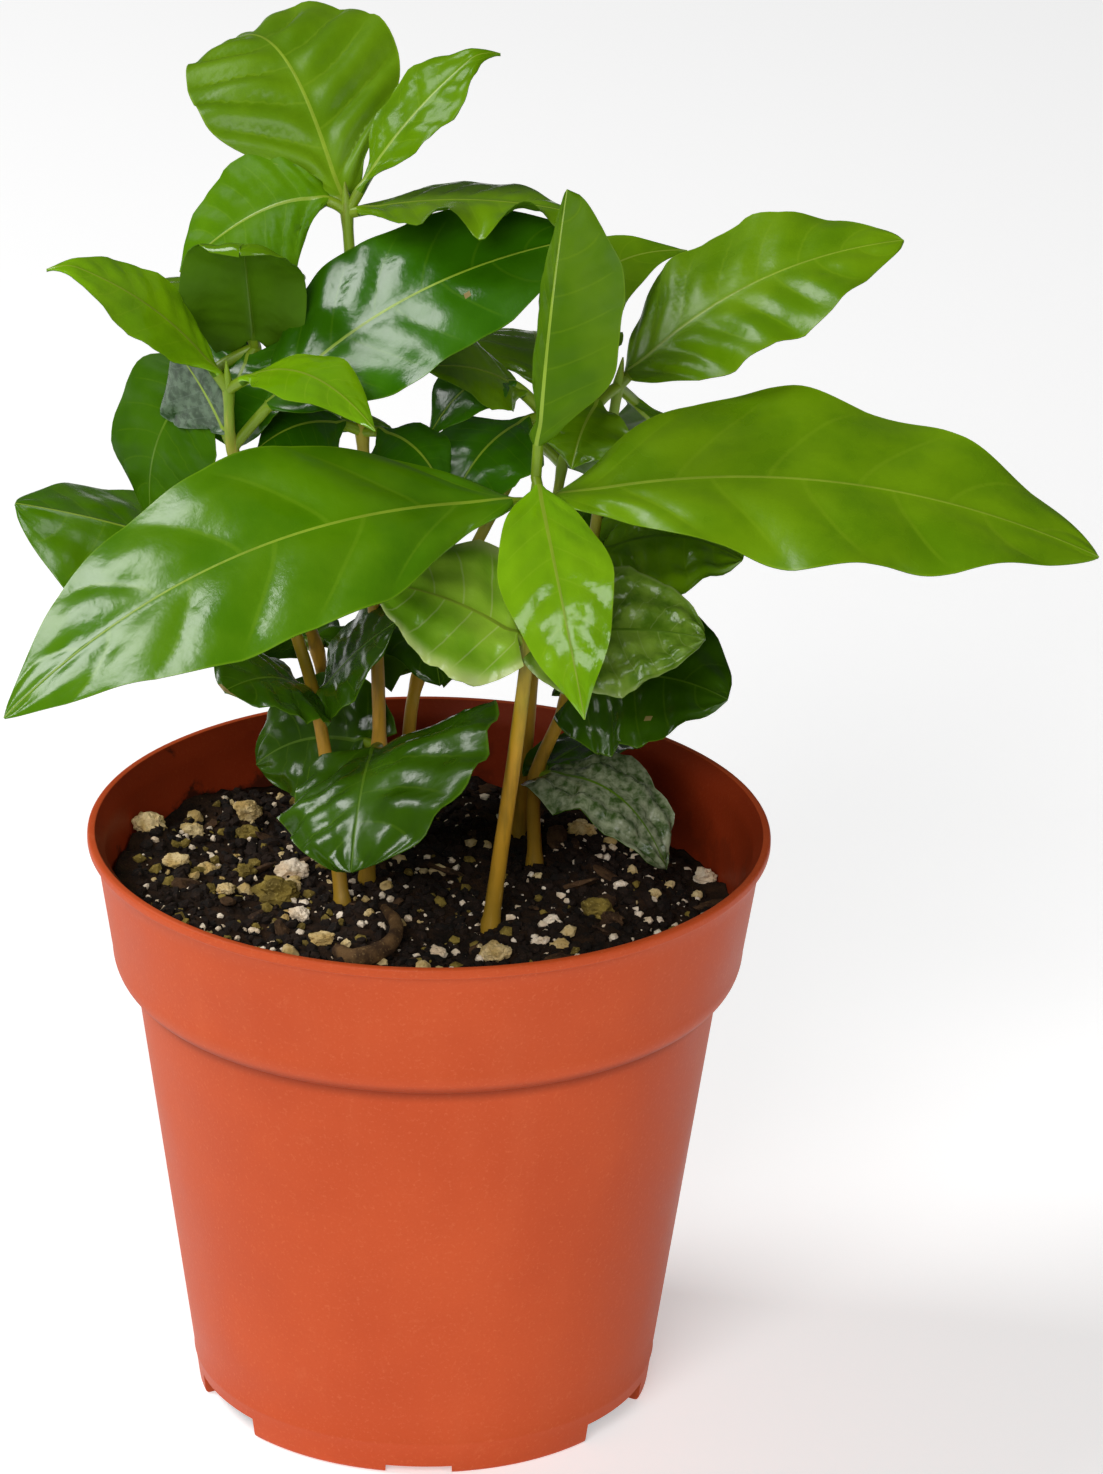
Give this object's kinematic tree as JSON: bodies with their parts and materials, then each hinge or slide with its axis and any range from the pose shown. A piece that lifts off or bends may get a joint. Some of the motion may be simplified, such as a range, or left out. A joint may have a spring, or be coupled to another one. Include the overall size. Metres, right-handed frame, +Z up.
{
  "type": "potted coffee plant",
  "caption": "Young coffee plant: a cluster of slim-stemmed seedlings with long glossy leaves and round wavy seed leaves, growing in a soil-filled round nursery pot with a stepped collar.",
  "frame": {"origin": "middle of the pot's flat underside", "axes": "+Z up, +X to the viewer's right seen from the front, +Y to the back"},
  "size_m": [0.168, 0.1205, 0.2195],
  "materials": {
    "pot": "satin terracotta-orange plastic",
    "soil": "dark crumbly potting mix",
    "stem": "young yellow-brown to green bark",
    "leaf": "glossy leaf"
  },
  "bodies": {
    "root": {"pot": "pot", "soil": "soil", "front_lower_stem": "stem", "front_seed_leaves": "leaf", "front_middle_stem": "stem", "front_crown": "leaf", "left_lower_stem": "stem", "left_seed_leaves": "leaf", "left_middle_stem": "stem", "left_middle_leaves": "leaf", "left_upper_stem": "stem", "left_crown": "leaf", "tall_lower_stem": "stem", "tall_seed_leaves": "leaf", "tall_middle_stem": "stem", "tall_middle_leaves": "leaf", "tall_upper_stem": "stem", "tall_crown": "leaf", "back_lower_stem": "stem", "back_seed_leaves": "leaf", "back_middle_stem": "stem", "back_crown": "leaf", "right_lower_stem": "stem", "right_seed_leaves": "leaf", "right_middle_stem": "stem", "right_middle_leaves": "leaf", "right_upper_stem": "stem", "right_upper_leaves": "leaf", "right_top_stem": "stem", "right_crown": "leaf", "back_right_lower_stem": "stem", "back_right_seed_leaves": "leaf", "back_right_middle_stem": "stem", "back_right_crown": "leaf", "back_left_lower_stem": "stem", "back_left_seed_leaves": "leaf", "back_left_middle_stem": "stem", "back_left_middle_leaves": "leaf", "back_left_upper_stem": "stem", "back_left_crown": "leaf"}
  },
  "joints": []
}
